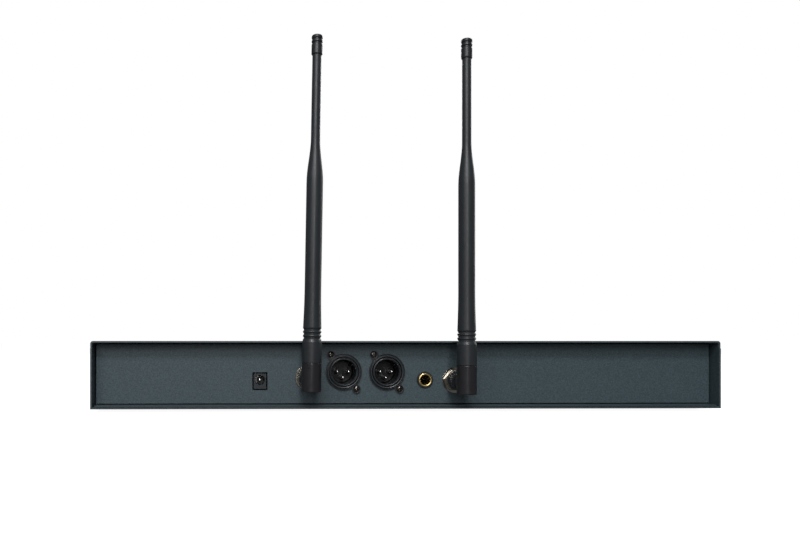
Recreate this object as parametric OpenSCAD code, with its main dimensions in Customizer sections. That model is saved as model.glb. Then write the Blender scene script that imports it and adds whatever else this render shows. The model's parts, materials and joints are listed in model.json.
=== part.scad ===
// Rack-width wireless microphone receiver with two whip antennas.
// Millimetres. +Z up, -Y is the connector side, +Y the control side, +X to the right seen from -Y.
// The origin is the middle of the whole footprint, on the surface that the feet stand on.

/* [Case] */
// Width of the case
case_w = 420; // [400:5:440]
// Height of the case, without its feet
case_h = 45; // [44:1:50]
// Depth of the case, from the rear rim to the front panel's face
case_d = 190; // [170:5:240]
// Thickness of the steel sheet
sheet = 1.2; // [1:0.1:1.5]
// Distance from the rear rim in to the rear panel
recess = 10; // [8:0.5:12]
// Gap left between the rear panel and the case round it
panel_gap = 0.9; // [0.6:0.1:1.2]
// Height of the folded lip on the tray's rear edge, above the tray's floor
lip_h = 1.1; // [0.8:0.1:1.4]
// Outer radius of the cover's two long bends
bend_r = 1.8; // [1.6:0.1:2.5]
// Length of rear edge cut back beside each long bend
relief = 5; // [3:0.5:8]
// Depth of that cut
relief_depth = 0.5; // [0.3:0.1:1.5]
// Height of the rubber feet
foot_h = 2.5; // [2:0.5:4]
// Diameter of the rubber feet
foot_d = 16; // [12:1:20]

/* [Connectors] */
// DC socket, sideways place
dc_x = -98.2; // [-120:0.1:-90]
// DC socket, height of its hole above the case bottom
dc_z = 18.7; // [18.3:0.1:22]
// Left antenna socket, sideways place
bnc_left_x = -65.8; // [-68:0.1:-64]
// Left antenna socket, height above the case bottom
bnc_left_z = 20.2; // [19:0.1:23]
// Right antenna socket, sideways place
bnc_right_x = 33.8; // [32:0.1:60]
// Right antenna socket, height above the case bottom
bnc_right_z = 18.5; // [18:0.1:23]
// Left balanced output, sideways place
xlr_left_x = -41.7; // [-42:0.1:-41]
// Right balanced output, sideways place
xlr_right_x = -12.5; // [-13:0.1:-12]
// Balanced outputs, height above the case bottom
xlr_z = 24.1; // [23:0.1:24.5]
// Diameter of a balanced output's flange
xlr_flange_d = 24.4; // [23:0.1:25]
// Diameter of a balanced output's socket
xlr_socket_d = 16.4; // [16:0.1:17]
// Mixed output jack, sideways place
jack_x = 13.4; // [12:0.1:15]
// Mixed output jack, height above the case bottom
jack_z = 18.7; // [18.4:0.1:19]
// Diameter of the mixed output's hole
jack_hole_d = 6.5; // [6.4:0.1:6.6]

/* [Antennas] */
// Distance from the rear panel's face out to the antenna's axis
elbow_reach = 28; // [26:0.5:32]
// Diameter of the elbow
elbow_d = 12.6; // [12:0.1:13]
// How far the elbow goes below the socket's axis
elbow_drop = 7.8; // [7:0.1:9]
// How far the elbow goes above the socket's axis
elbow_rise = 10.7; // [10:0.1:12]
// Length of the whip from the elbow to the top of its tip
whip_len = 209; // [200:0.2:220]
// Diameter of the whip's thick lower part
whip_body_d = 10.5; // [9.5:0.1:11]
// Diameter of the whip's thin upper part
whip_thin_d = 5.8; // [5:0.1:6.5]
// Diameter of the tip
tip_d = 7.1; // [6.8:0.1:8]
// Lean of the left antenna to the right, in degrees
lean_left = 1; // [0:0.1:3]

/* [Front controls] */
// Sideways place of the volume knobs, either side of the middle
knob_x = 95; // [85:1:110]
// Diameter of a volume knob
knob_d = 17; // [15:0.5:20]
// Width of the display window
window_w = 92; // [60:1:100]
// Height of the display window
window_h = 24; // [18:1:28]
// Travel of the buttons
button_travel = 0.8; // [0.4:0.1:1]

/* [Hidden] */
$fn = 64;

// Places along Y. The footprint runs from the elbows' backs to the knobs' faces.
antenna_reach = elbow_reach - recess + elbow_d / 2;
knob_reach = 12;
front_plate = 4;
rear_y = antenna_reach - (antenna_reach + case_d + knob_reach) / 2;
panel_y = rear_y + recess;
front_y = rear_y + case_d;
plate_y = front_y - front_plate;
board_y = panel_y + sheet + 3;

// Places along Z
floor_z = foot_h + sheet;
roof_z = foot_h + case_h - sheet;
board_z = foot_h + 10;
board_t = 1.6;
board_top = board_z + board_t;
mid_z = foot_h + case_h / 2;

// Places along X
half_w = case_w / 2;
wall_x = half_w - sheet;

// Tray and panel
flange_h = 12;
front_flange_h = 8;
panel_low = sheet + lip_h + 0.7;
panel_tab = [14, 12];
screw_y = [rear_y + 30, rear_y + case_d / 2, plate_y - 20];
screw_z = foot_h + 6.5;
panel_screw_x = [-190, -125, 75, 190];
boss_r = 4;
front_screw_x = [-195, -65, 65, 195];
front_screw_z = foot_h + 4.6;
foot_x = half_w - 32;
foot_y = [rear_y + 36, plate_y - 30];
foot_recess_r = 3.4;
foot_head_h = 1;
rack_r = 2;
rack_insert_r = 3.6;
rack_y = plate_y - 42;
rack_z = mid_z + 3.5;
rack_dz = 18;

// Main board and what is on it
board_w = 186;
board_x = -32;
board_len = 112;
standoff_x = [board_x - board_w / 2 + 6, board_x + board_w / 2 - 6];
standoff_dy = [30, board_len - 6];
standoff_r = 3;
can = [44, 34, 7];
can_rim = 1;
can_y = board_y + 42;
cap_r = 5;
cap_h = 14;
cap_pitch = 13;
ribbon_w = 25;
ribbon_t = 0.9;
ribbon_z = board_top + 11;
lead_r = 1.3;

// Antenna sockets
bnc = [[bnc_left_x, bnc_left_z], [bnc_right_x, bnc_right_z]];
thread_r = 6.3;
thread_out = 5.2;
barrel_r = 4.85;
barrel_out = 16;
mouth_r = 4.05;
mouth_depth = 9;
nut_r = 7.7;
nut_t = 2.6;
washer_r = 8.7;
washer_t = 0.7;

// Antenna plug, running in the socket's mouth and in the coupling nut's collar
ferrule_r = mouth_r - 0.05;
collar_r = 4.95;
collar_fit = 0.05;
nut_from = 6.6;
nut_to = 18.4;
arm_r = 5.7;
core_r = 1.2;

// Heights up the whip, from the elbow's top
sleeve_len = 14.1;
groove_at = [16, 18.6, 21.2];
flare_at = 22.6;
body_from = 46.8;
body_to = 114.8;
thin_from = 143.7;
tip_len = 12.6;
tip_from = whip_len - tip_len;
tip_grooves = [whip_len - 5.4, whip_len - 2.9];
sleeve_r = elbow_d / 2;
flare_r = 5.8;

// Screws and the holes they pass through
m3_r = 1.5;
m3_hole_r = 1.55;
head_r = 2.8;
head_h = 1.6;

// DC socket: its block, how far that goes below the hole, and its hole
dc_body = [9, 11, 14.2];
dc_drop = 6.3;
dc_hole_r = 3.05;
dc_pin_r = 1;
dc_cutout = [10, 11.6];

// Balanced outputs
xlr = [xlr_left_x, xlr_right_x];
xlr_ear = [8.7, 11.6];
xlr_ear_r = 2.8;
xlr_ear_t = 1.6;
xlr_flange_t = 2.2;
xlr_barrel_r = 11;
xlr_bezel = [9.7, 10.6];
xlr_depth = 16;
xlr_floor = 2.5;
xlr_head = [1.9, 1.4];
xlr_latch = [5.7, 3.7];
xlr_key_at = 7.4;
xlr_key_angle = -52;
pin_r = 1.2;
pin_end = 3.2;
pin_places = [[-3.81, 0], [3.81, 0], [0, -4]];

// Mixed output jack
jack_block = [15, 14];
jack_len = 27;
jack_collar_r = 5.5;
jack_lining_r = 4.65;
jack_lining_out = 1.75;
jack_lining_in = 10;
jack_bore_r = 4.2;

// Front controls
button_r = 4;
button_gap = 0.3;
button_x = 62;
power_x = 165;
bushing_r = 3.5;
shaft_r = 3;
front_gap = 12;
front_board_y = plate_y - front_gap - board_t;
light_places = [[145, mid_z], [knob_x + 25, mid_z], [-knob_x - 25, mid_z]];

// Points of a round corner: centre, radius, and the angles it runs between
function arc(cx, cy, r, a0, a1, n = 6) =
    [for (i = [0:n]) [cx + r * cos(a0 + (a1 - a0) * i / n), cy + r * sin(a0 + (a1 - a0) * i / n)]];

// Local axes at the rear panel's face: x right, y up, z out of the panel
module at_rear(x, z) translate([x, panel_y, foot_h + z]) rotate([90, 0, 0]) children();

// Local axes at the front panel's face: x to the left seen from behind, y up, z out of the panel
module at_front(x, z) translate([x, front_y, z]) rotate([90, 0, 180]) children();

// A tube or disc with its lower face at z
module ring(r, hole, z, h) {
    difference() {
        translate([0, 0, z]) cylinder(r = r, h = h);
        translate([0, 0, z - 1]) cylinder(r = hole, h = h + 2);
    }
}

module disc(r, z, h) translate([0, 0, z]) cylinder(r = r, h = h);

// A pan head with a cross recess, its underside at z = 0
module pan_head(r, h) {
    difference() {
        intersection() {
            cylinder(r = r, h = h);
            translate([0, 0, h - 2.2 * r]) sphere(r = 2.2 * r);
        }
        for (a = [0, 90]) rotate([0, 0, a])
            translate([-r * 0.6, -r * 0.12, h * 0.45]) cube([r * 1.2, r * 0.24, h]);
    }
}

// A countersunk screw, flush at z = 0, its shank going down
module flush_screw(length) {
    difference() {
        union() {
            translate([0, 0, -1.1]) cylinder(r1 = m3_r, r2 = head_r, h = 1.1);
            disc(m3_r, -length, length - 1.05);
        }
        for (a = [0, 90]) rotate([0, 0, a])
            translate([-head_r * 0.55, -0.35, -0.7]) cube([head_r * 1.1, 0.7, 1]);
    }
}

module countersink() {
    translate([0, 0, -1.15]) cylinder(r1 = m3_hole_r, r2 = head_r + 0.1, h = 1.15);
    disc(head_r + 0.1, -0.01, 1);
    disc(m3_hole_r, -8, 8);
}

// Places and directions of the six screws in the cover's sides
module at_cover_screws() {
    for (s = [-1, 1], y = screw_y)
        translate([s * half_w, y, screw_z]) rotate([0, s * 90, 0]) children();
}

module at_rack_holes() {
    for (s = [-1, 1], dz = [-rack_dz / 2, rack_dz / 2])
        translate([s * half_w, rack_y, rack_z + dz]) rotate([0, s * 90, 0]) children();
}

module at_panel_screws() {
    for (x = panel_screw_x)
        translate([x, panel_y + sheet + 6, foot_h]) rotate([180, 0, 0]) children();
}

module at_feet() {
    for (s = [-1, 1], y = foot_y) translate([s * foot_x, y, 0]) children();
}

module at_standoffs() {
    for (x = standoff_x, dy = standoff_dy) translate([x, board_y + dy, 0]) children();
}

/* Enclosure */

// The folded edge that lies on the tray's floor: its face is that far in from the rear rim
module rear_lip(inset, z, h) {
    lip_x = wall_x - 1.5;
    translate([-lip_x, rear_y + inset, foot_h + z]) cube([2 * lip_x, recess + 2 - inset, h]);
}

module base_tray() {
    color("#39434a") difference() {
        union() {
            translate([-wall_x, rear_y, foot_h]) cube([2 * wall_x, plate_y - rear_y, sheet]);
            for (x = [-wall_x, wall_x - sheet])
                translate([x, panel_y + 4, foot_h]) cube([sheet, plate_y - panel_y - 4, flange_h]);
            translate([-wall_x, plate_y - sheet, foot_h]) cube([2 * wall_x, sheet, front_flange_h]);
            at_panel_screws() disc(boss_r, -panel_low, panel_low - sheet + 0.1);
            rear_lip(0.5, sheet + 0.35, lip_h - 0.35);
            rear_lip(2, sheet - 0.1, 0.6);
        }
        at_cover_screws() disc(m3_hole_r, -10, 10);
        at_panel_screws() countersink();
        at_feet() disc(m3_hole_r, 0, 10);
        at_standoffs() disc(m3_hole_r, 0, 10);
        at_front_plate_screws() disc(m3_hole_r, -30, 30);
    }
}

module cover_outline(w, h, r) {
    polygon(concat(
        [[w / 2, -1], [w / 2, 0]],
        arc(w / 2 - r, h - r, r, 0, 90),
        arc(-w / 2 + r, h - r, r, 90, 180),
        [[-w / 2, 0], [-w / 2, -1]]));
}

module top_cover() {
    color("#3b454c") difference() {
        union() {
            translate([0, plate_y, foot_h]) rotate([90, 0, 0])
                linear_extrude(plate_y - rear_y - relief_depth) difference() {
                    intersection() {
                        cover_outline(case_w, case_h, bend_r);
                        translate([-half_w, 0]) square([case_w, case_h]);
                    }
                    cover_outline(case_w - 2 * sheet, case_h - sheet, bend_r - sheet + 0.1);
                }
            translate([-half_w + relief, rear_y, roof_z]) cube([case_w - 2 * relief, relief_depth + 1, sheet]);
            for (x = [-half_w, wall_x])
                translate([x, rear_y, foot_h]) cube([sheet, relief_depth + 1, case_h - relief]);
        }
        at_cover_screws() countersink();
        at_rack_holes() disc(rack_r, -5, 6);
    }
}

module cover_screws() {
    color("#2b2d2f") at_cover_screws() flush_screw(6);
}

module rear_panel() {
    top = case_h - sheet - panel_gap;
    side = wall_x - panel_gap;
    color("#434d55") difference() {
        union() {
            translate([-side, panel_y, foot_h + panel_low]) cube([2 * side, sheet, top - panel_low]);
            for (x = panel_screw_x)
                translate([x - panel_tab[0] / 2, panel_y, foot_h + panel_low])
                    cube([panel_tab[0], panel_tab[1], sheet]);
        }
        at_panel_screws() disc(m3_hole_r, -10, 10);
        at_rear(dc_x, dc_z - dc_drop + dc_body[1] / 2)
            translate([-dc_cutout[0] / 2, -dc_cutout[1] / 2, -5]) cube([dc_cutout[0], dc_cutout[1], 10]);
        for (b = bnc) at_rear(b[0], b[1]) disc(thread_r + 0.1, -5, 10);
        for (x = xlr) at_rear(x, xlr_z) {
            disc(xlr_barrel_r + 0.2, -3, 6);
            at_ears() disc(m3_hole_r, -3, 6);
        }
        at_rear(jack_x, jack_z) disc(jack_collar_r + 0.1, -3, 6);
    }
}

module rear_panel_screws() {
    color("#2b2d2f") at_panel_screws() flush_screw(5);
}

module rubber_feet() {
    color("#18191a") at_feet() difference() {
        cylinder(r1 = foot_d / 2 - 1, r2 = foot_d / 2, h = foot_h);
        disc(foot_recess_r, -1, foot_h);
        disc(m3_hole_r, -1, 10);
    }
}

module foot_screws() {
    color("#8d9092") at_feet() {
        translate([0, 0, foot_h - foot_head_h]) rotate([180, 0, 0]) pan_head(head_r, foot_head_h);
        disc(m3_r, foot_h - 1.05, 5);
    }
}

module rack_inserts() {
    color("#9fa2a4") at_rack_holes() ring(rack_insert_r, rack_r, -sheet - 4, 4);
}

/* Main board and its electronics */

module main_board() {
    color("#1f5a38") difference() {
        translate([board_x - board_w / 2, board_y, board_z]) cube([board_w, board_len, board_t]);
        at_standoffs() disc(m3_hole_r, board_z - 1, 5);
    }
}

module board_standoffs() {
    color("#b7a268") at_standoffs() ring(standoff_r, m3_r, floor_z, board_z - floor_z);
}

module board_screws() {
    color("#9a9da0") at_standoffs() {
        translate([0, 0, board_top]) pan_head(head_r, head_h);
        disc(m3_r, board_top - 6, 6.05);
    }
}

// A shielding can over a receiver stage, with a solder rim
module rf_module(x) {
    translate([x - can[0] / 2, can_y, board_top]) {
        cube([can[0], can[1], can_rim]);
        translate([can_rim, can_rim, 0]) cube([can[0] - 2 * can_rim, can[1] - 2 * can_rim, can[2]]);
    }
}

module rf_module_left() {
    color("#b4b8bb") rf_module(bnc_left_x + 4);
}

module rf_module_right() {
    color("#b4b8bb") rf_module(bnc_right_x - 22);
}

// A round lead through a list of points
module lead(points, r) {
    for (i = [0:len(points) - 2]) hull() {
        translate(points[i]) sphere(r = r, $fn = 16);
        translate(points[i + 1]) sphere(r = r, $fn = 16);
    }
}

module coax_lead(b, can_x) {
    y = panel_y + sheet + 11;
    z = foot_h + b[1];
    lead([[b[0], y, z], [b[0], y + 14, z], [(b[0] + can_x) / 2, y + 22, z - 1],
          [can_x, y + 28, board_top + 5], [can_x, can_y - 0.5, board_top + 3]], lead_r);
}

module coax_lead_left() {
    color("#26282a") coax_lead(bnc[0], bnc_left_x + 4);
}

module coax_lead_right() {
    color("#26282a") coax_lead(bnc[1], bnc_right_x - 22);
}

module capacitors() {
    color("#2d3644") for (i = [0:3])
        translate([dc_x + 2 + cap_pitch * i, board_y + 90, board_top]) cylinder(r = cap_r, h = cap_h);
}

// A flat cable from the main board up to the front board
module ribbon_cable() {
    y0 = board_y + board_len - 8;
    y1 = front_board_y;
    t = ribbon_t;
    color("#9aa0a6") translate([20, 0, 0]) rotate([90, 0, 90]) linear_extrude(ribbon_w)
        polygon([
            [y0, board_top], [y0 + t, board_top], [y0 + t, ribbon_z - 3], [y0 + 8, ribbon_z],
            [y1, ribbon_z], [y1, ribbon_z + t], [y0 + 8 - t, ribbon_z + t], [y0, ribbon_z - 3 + t]]);
}

/* Rear connectors */

module dc_jack_body() {
    color("#17191b") at_rear(dc_x, dc_z) difference() {
        translate([-dc_body[0] / 2, -dc_drop, 0.2 - dc_body[2]]) cube(dc_body);
        disc(dc_hole_r, -11, 12);
        translate([-2.6, -dc_drop - 0.1, -9]) cube([5.2, 2, 8]);
    }
}

module dc_jack_contacts() {
    color("#c8cbcd") at_rear(dc_x, dc_z) {
        disc(dc_pin_r, -11, 9.5);
        translate([0.15 - dc_hole_r, -0.9, -11]) cube([0.4, 1.8, 9]);
    }
}

// Places of the two screws in a balanced output's flange
module at_ears() {
    for (s = [-1, 1]) translate([-s * xlr_ear[0], s * xlr_ear[1], 0]) children();
}

// Flange with two ears, barrel through the panel, keyed socket open to the front
module xlr_shell(x) {
    at_rear(x, xlr_z) difference() {
        union() {
            disc(xlr_flange_d / 2, 0, xlr_flange_t);
            disc(xlr_barrel_r, -xlr_depth - 3, xlr_depth + 3.1);
            at_ears() disc(xlr_ear_r, 0, xlr_ear_t);
            translate([-7, -11.9, -xlr_depth - 3]) cube([14, 6, 10]);
        }
        disc(xlr_socket_d / 2, -xlr_depth, xlr_depth + 5);
        ring(xlr_bezel[1], xlr_bezel[0], xlr_flange_t - 0.5, 2);
        translate([-xlr_latch[0] / 2, 6, -9]) cube([xlr_latch[0], xlr_latch[1], 20]);
        at_ears() disc(m3_hole_r, -1, 5);
    }
}

module xlr_shell_left() {
    color("#1c1e20") xlr_shell(xlr[0]);
}

module xlr_shell_right() {
    color("#1c1e20") xlr_shell(xlr[1]);
}

module xlr_inserts() {
    color("#202224") for (x = xlr) at_rear(x, xlr_z) difference() {
        union() {
            disc(xlr_socket_d / 2 - 0.02, -xlr_depth, xlr_floor);
            rotate([0, 0, xlr_key_angle]) translate([0, xlr_key_at, 0]) disc(0.7, -xlr_depth, xlr_depth - 3);
        }
        for (p = pin_places) translate([p[0], p[1], 0]) disc(pin_r + 0.01, -xlr_depth - 1, 5);
    }
}

module xlr_pins() {
    color("#cfd1d2") for (x = xlr) at_rear(x, xlr_z) for (p = pin_places)
        translate([p[0], p[1], 0]) {
            disc(pin_r, -xlr_depth, xlr_depth - pin_end);
            translate([0, 0, -pin_end]) cylinder(r1 = pin_r, r2 = pin_r / 2, h = 0.9);
        }
}

module xlr_screws() {
    color("#26282a") for (x = xlr) at_rear(x, xlr_z) at_ears() translate([0, 0, xlr_ear_t]) {
        pan_head(xlr_head[0], xlr_head[1]);
        disc(m3_r, -5, 5.05);
    }
}

module jack_body() {
    color("#15171a") at_rear(jack_x, jack_z) difference() {
        union() {
            translate([-jack_block[0] / 2, 0.2 - jack_block[1] / 2, -jack_len])
                cube([jack_block[0], jack_block[1], jack_len - sheet]);
            disc(jack_collar_r, -2, 3);
        }
        disc(jack_lining_r + 0.07, -jack_lining_in - 1, 20);
        disc(jack_bore_r, 2 - jack_len, 20);
    }
}

module jack_bushing() {
    color("#c9a348") at_rear(jack_x, jack_z) difference() {
        union() {
            disc(jack_lining_r, -jack_lining_in, jack_lining_in + jack_lining_out - 0.35);
            translate([0, 0, jack_lining_out - 0.4])
                cylinder(r1 = jack_lining_r, r2 = jack_lining_r - 0.35, h = 0.4);
        }
        disc(jack_hole_d / 2, -jack_lining_in - 1, jack_lining_in + 4);
    }
}

module jack_contacts() {
    color("#c9a348") at_rear(jack_x, jack_z) for (s = [-1, 1])
        translate([s * (jack_bore_r - 0.45) - 0.2, -1.2, -23]) cube([0.4, 2.4, 11]);
}

// Bulkhead antenna socket with its two bayonet studs
module bnc_jack(b) {
    at_rear(b[0], b[1]) difference() {
        union() {
            disc(7.5, -sheet - 2, 2);
            disc(thread_r, -sheet - 1, sheet + 1 + thread_out);
            disc(barrel_r, thread_out - 1, barrel_out - thread_out + 1);
            disc(3.4, -sheet - 8, 7);
            rotate([90, 0, 0]) translate([0, 11, -5.5]) cylinder(r = 1, h = 11);
        }
        disc(mouth_r, barrel_out - mouth_depth, mouth_depth + 1);
        disc(2.4, -sheet - 9, 30);
    }
}

module bnc_jack_left() {
    color("#b9b7ae") bnc_jack(bnc[0]);
}

module bnc_jack_right() {
    color("#b9b7ae") bnc_jack(bnc[1]);
}

module bnc_insulators() {
    color("#e6e4dc") for (b = bnc) at_rear(b[0], b[1]) ring(2.35, 0.7, -sheet - 7, 17);
}

module bnc_nuts() {
    color("#bdbaaf") for (b = bnc) at_rear(b[0], b[1]) difference() {
        intersection() {
            translate([0, 0, washer_t]) cylinder(r = nut_r, h = nut_t, $fn = 6);
            translate([0, 0, washer_t]) cylinder(r1 = nut_r, r2 = nut_r - 0.9, h = nut_t);
        }
        disc(thread_r, -1, 8);
    }
}

module bnc_washers() {
    color("#a9a79f") for (b = bnc) at_rear(b[0], b[1]) ring(washer_r, thread_r, 0, washer_t);
}

// Bayonet ring with grip flutes, free to turn round the socket's studs
module coupling_nut(b) {
    flutes = 20;
    at_rear(b[0], b[1]) difference() {
        union() {
            disc(6.4, nut_from, nut_to - nut_from - 0.6);
            translate([0, 0, nut_to - 0.6]) cylinder(r1 = 6.4, r2 = 5.9, h = 0.6);
        }
        disc(5.65, nut_from - 1, barrel_out - nut_from + 1.2);
        disc(collar_r + collar_fit, nut_from, 20);
        for (i = [0:flutes - 1]) rotate([0, 0, i * 360 / flutes])
            translate([6.6, 0, nut_from + 4]) cylinder(r = 0.4, h = 6, $fn = 24);
    }
}

module coupling_nut_left() {
    color("#232527") coupling_nut(bnc[0]);
}

module coupling_nut_right() {
    color("#232527") coupling_nut(bnc[1]);
}

/* Antennas. Local axes as at the rear panel, turned about the socket's axis by the lean. */

module at_antenna(b, lean) at_rear(b[0], b[1]) rotate([0, 0, -lean]) children();

// Axis of the whip: local z along it, from the elbow's top
module at_whip(b, lean) {
    at_antenna(b, lean) translate([0, elbow_rise, elbow_reach]) rotate([-90, 0, 0]) children();
}

module antenna_elbow(b, lean) {
    color("#1d1e20") {
        at_antenna(b, lean) difference() {
            union() {
                disc(arm_r, nut_to + 0.3, elbow_reach - nut_to - 0.3);
                translate([0, elbow_rise, elbow_reach]) rotate([90, 0, 0]) {
                    disc(elbow_d / 2, 0.5, elbow_rise + elbow_drop - 1);
                    cylinder(r1 = elbow_d / 2 - 0.5, r2 = elbow_d / 2, h = 0.5);
                    translate([0, 0, elbow_rise + elbow_drop - 0.5])
                        cylinder(r1 = elbow_d / 2, r2 = elbow_d / 2 - 0.4, h = 0.5);
                }
            }
            disc(3, nut_to - 1, 6);
        }
    }
}

module antenna_elbow_left() antenna_elbow(bnc[0], lean_left);
module antenna_elbow_right() antenna_elbow(bnc[1], 0);

// Ferrule in the socket's mouth, collar in the coupling nut, and the centre pin
module antenna_plug(b, lean) {
    color("#b9b7ae") at_antenna(b, lean) {
        ring(ferrule_r, 3.1, barrel_out - 6, 7);
        disc(collar_r, barrel_out + 0.4, nut_to + 0.3 - barrel_out - 0.4);
        disc(2.95, nut_to, 5);
        disc(0.6, barrel_out - 8, 10);
    }
}

module antenna_plug_left() antenna_plug(bnc[0], lean_left);
module antenna_plug_right() antenna_plug(bnc[1], 0);

module whip_profile() {
    groove = 0.45;
    body_r = whip_body_d / 2;
    thin_r = whip_thin_d / 2;
    polygon(concat(
        [[core_r + 0.05, 0.2], [sleeve_r - 0.4, 0.2], [sleeve_r - 0.1, 0.6]],
        [[sleeve_r, sleeve_len - 0.6], [sleeve_r - 0.5, sleeve_len]],
        [for (z = groove_at, p = [[0, -0.9], [-groove, -0.5], [-groove, 0.5], [0, 0.9]])
            [flare_r + p[0] + 0.05, z + p[1]]],
        [[flare_r, flare_at + 0.4]],
        [for (i = [1:8]) [
            body_r + (flare_r - body_r) * pow(1 - i / 8, 1.6),
            flare_at + 0.4 + (body_from - flare_at - 0.4) * i / 8]],
        [for (i = [0:10]) [
            body_r + (thin_r - body_r) * (1 - cos(18 * i)) / 2,
            body_to + (thin_from - body_to) * i / 10]],
        [[thin_r, tip_from], [core_r + 0.05, tip_from]]));
}

module antenna_whip(b, lean) {
    color("#242628") at_whip(b, lean) rotate_extrude() whip_profile();
}

module antenna_whip_left() antenna_whip(bnc[0], lean_left);
module antenna_whip_right() antenna_whip(bnc[1], 0);

module antenna_tip(b, lean) {
    r = tip_d / 2;
    color("#1c1e20") at_whip(b, lean) rotate_extrude() polygon(concat(
        [[0, tip_from], [r - 0.3, tip_from], [r, tip_from + 0.4]],
        [for (z = tip_grooves, p = [[0, -0.8], [-0.45, -0.45], [-0.45, 0.45], [0, 0.8]])
            [r + p[0], z + p[1]]],
        arc(r - 1.4, whip_len - 1.4, 1.4, 0, 90),
        [[0, whip_len]]));
}

module antenna_tip_left() antenna_tip(bnc[0], lean_left);
module antenna_tip_right() antenna_tip(bnc[1], 0);

module antenna_element(b, lean) {
    color("#b78a4a") at_whip(b, lean) disc(core_r, 0.2, tip_from - 0.4);
}

module antenna_element_left() antenna_element(bnc[0], lean_left);
module antenna_element_right() antenna_element(bnc[1], 0);

/* Front */

module at_front_plate_screws() {
    for (x = front_screw_x) translate([x, plate_y - sheet, front_screw_z]) rotate([90, 0, 0]) children();
}

module front_panel() {
    r = 1.5;
    color("#2b3035") difference() {
        translate([0, front_y, foot_h]) rotate([90, 0, 0]) linear_extrude(front_plate)
            polygon(concat(
                arc(half_w - r, case_h - r, r, 0, 90), arc(-half_w + r, case_h - r, r, 90, 180),
                arc(-half_w + r, r, r, 180, 270), arc(half_w - r, r, r, 270, 360)));
        translate([-window_w / 2, front_y - 20, mid_z - window_h / 2]) cube([window_w, 40, window_h]);
        for (s = [-1, 1]) at_front(s * knob_x, mid_z) disc(bushing_r + 0.1, -10, 20);
        for (s = [-1, 1]) at_front(s * button_x, mid_z) disc(button_r + button_gap, -10, 20);
        at_front(power_x, mid_z) disc(button_r + 2 + button_gap, -10, 20);
        for (p = light_places) at_front(p[0], p[1]) disc(1.55, -10, 20);
        at_front_plate_screws() disc(m3_r, -sheet - 3, 4);
    }
}

module front_panel_screws() {
    color("#8d9092") at_front_plate_screws() {
        pan_head(head_r, head_h);
        disc(m3_r, -sheet - 2.8, sheet + 2.85);
    }
}

module front_board() {
    color("#1f5a38") translate([-178, front_board_y, foot_h + 17]) cube([356, board_t, 20]);
}

module display_module() {
    color("#10151a") translate([-window_w / 2 - 2, plate_y - front_gap, mid_z - window_h / 2 - 2])
        cube([window_w + 4, front_gap - 0.3, window_h + 4]);
}

module display_window() {
    color("#11161c") translate([-window_w / 2 + 0.1, plate_y, mid_z - window_h / 2 + 0.1])
        cube([window_w - 0.2, front_plate - 0.4, window_h - 0.2]);
}

module volume_pots() {
    color("#7e8285") for (s = [-1, 1]) at_front(s * knob_x, mid_z) difference() {
        union() {
            disc(8, -front_plate - front_gap, front_gap - 2);
            disc(bushing_r, -front_plate - 3, front_plate + 6);
            translate([0, 0, 0.05]) cylinder(r = 5.6, h = 1.6, $fn = 6);
        }
        disc(shaft_r + 0.05, -front_plate - front_gap + 2, 40);
    }
}

module volume_shaft(s) {
    color("#a6a9ab") at_front(s * knob_x, mid_z)
        disc(shaft_r, -front_plate - front_gap + 3, front_plate + front_gap - 3 + 9);
}

module volume_shaft_left() volume_shaft(-1);
module volume_shaft_right() volume_shaft(1);

module volume_knob(s) {
    grips = 24;
    color("#17191c") at_front(s * knob_x, mid_z) difference() {
        union() {
            disc(knob_d / 2, 0.6, knob_reach - 1.4);
            translate([0, 0, knob_reach - 0.8])
                cylinder(r1 = knob_d / 2, r2 = knob_d / 2 - 0.8, h = 0.8);
        }
        disc(6.6, 0, 3.6);
        disc(shaft_r, 0, 9);
        for (i = [0:grips - 1]) rotate([0, 0, (i + 0.5) * 360 / grips])
            translate([knob_d / 2 + 0.35, 0, 2]) cylinder(r = 0.7, h = 20, $fn = 24);
        translate([-0.5, 2.5, knob_reach - 0.5]) cube([1, knob_d, 2]);
    }
}

module volume_knob_left() volume_knob(-1);
module volume_knob_right() volume_knob(1);

module at_switches() {
    for (x = [-button_x, button_x, power_x]) at_front(x, mid_z) children();
}

module key_switches() {
    color("#2a2c2e") at_switches() difference() {
        translate([-3, -3, -front_plate - front_gap]) cube([6, 6, 4]);
        disc(1.85, -front_plate - front_gap + 1, 10);
    }
}

module button(x, r) {
    out = 1.6;
    color("#cfd2d4") at_front(x, mid_z) {
        disc(r, -front_plate - 0.5, front_plate + 0.5 + out - 0.4);
        translate([0, 0, out - 0.4]) cylinder(r1 = r, r2 = r - 0.4, h = 0.4);
        disc(r + 1.2, -front_plate - 1.4, 1);
        disc(1.75, -front_plate - front_gap + 1 + button_travel + 0.4, front_gap - 3);
    }
}

module power_button() button(power_x, button_r + 2);
module set_button_left() button(-button_x, button_r);
module set_button_right() button(button_x, button_r);

module indicator_lights() {
    color("#6fd08a") for (p = light_places) at_front(p[0], p[1])
        disc(1.5, -front_plate - front_gap, front_plate + front_gap + 0.4);
}

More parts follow.
